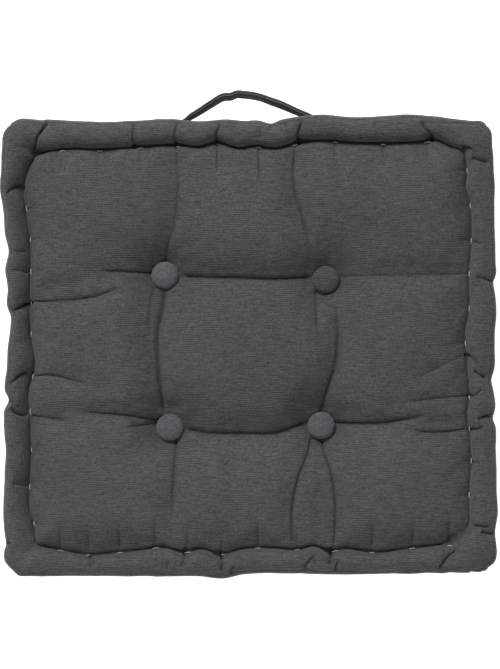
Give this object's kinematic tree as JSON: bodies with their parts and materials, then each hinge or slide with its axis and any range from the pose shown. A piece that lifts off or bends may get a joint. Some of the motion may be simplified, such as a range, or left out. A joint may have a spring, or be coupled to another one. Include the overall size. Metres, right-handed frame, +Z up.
{
  "type": "floor cushion",
  "caption": "Square tufted floor cushion with a stitched rolled edge, fabric-covered buttons pulled down by twine, and a fabric strap handle on one side.",
  "frame": {"origin": "middle of the underside, where the cushion rests", "axes": "+Z up through the thickness, +Y towards the side with the handle, +X to the right seen from above with the handle away"},
  "size_m": [0.45, 0.4446, 0.1012],
  "materials": {
    "cover_cloth": "charcoal plain-woven cloth, matt",
    "button_cloth": "slightly bluer charcoal woven cloth, matt",
    "strap_cloth": "charcoal woven cloth folded in layers, matt",
    "white_fibre": "lofty white polyester fibre",
    "pale_thread": "pale grey twisted sewing thread",
    "tufting_twine": "waxed tufting twine",
    "bright_metal": "pressed sheet, satin"
  },
  "bodies": {
    "cushion": {"top_panel": "cover_cloth", "bottom_panel": "cover_cloth", "band_front": "cover_cloth", "band_back": "cover_cloth", "band_left": "cover_cloth", "band_right": "cover_cloth", "fibre_filling": "white_fibre", "top_button_cover_back_left": "button_cloth", "top_button_cover_back_right": "button_cloth", "top_button_cover_front_left": "button_cloth", "top_button_cover_front_right": "button_cloth", "top_button_shell_back_left": "bright_metal", "top_button_shell_back_right": "bright_metal", "top_button_shell_front_left": "bright_metal", "top_button_shell_front_right": "bright_metal", "top_button_back_back_left": "bright_metal", "top_button_back_back_right": "bright_metal", "top_button_back_front_left": "bright_metal", "top_button_back_front_right": "bright_metal", "bottom_button_cover_back_left": "button_cloth", "bottom_button_cover_back_right": "button_cloth", "bottom_button_cover_front_left": "button_cloth", "bottom_button_cover_front_right": "button_cloth", "bottom_button_shell_back_left": "bright_metal", "bottom_button_shell_back_right": "bright_metal", "bottom_button_shell_front_left": "bright_metal", "bottom_button_shell_front_right": "bright_metal", "bottom_button_back_back_left": "bright_metal", "bottom_button_back_back_right": "bright_metal", "bottom_button_back_front_left": "bright_metal", "bottom_button_back_front_right": "bright_metal", "tuft_twine_back_left": "tufting_twine", "tuft_twine_back_right": "tufting_twine", "tuft_twine_front_left": "tufting_twine", "tuft_twine_front_right": "tufting_twine", "top_roll_thread": "pale_thread", "bottom_roll_thread": "pale_thread", "handle_end_left": "strap_cloth", "handle_end_right": "strap_cloth"},
    "handle": {"handle_strap": "strap_cloth"}
  },
  "joints": [
    {"name": "handle_swing", "type": "hinge", "parent": "cushion", "child": "handle", "pos_m": [0, 0.21519, 0.0475], "axis": [1, 0, 0], "range_deg": [-55, 55]}
  ]
}
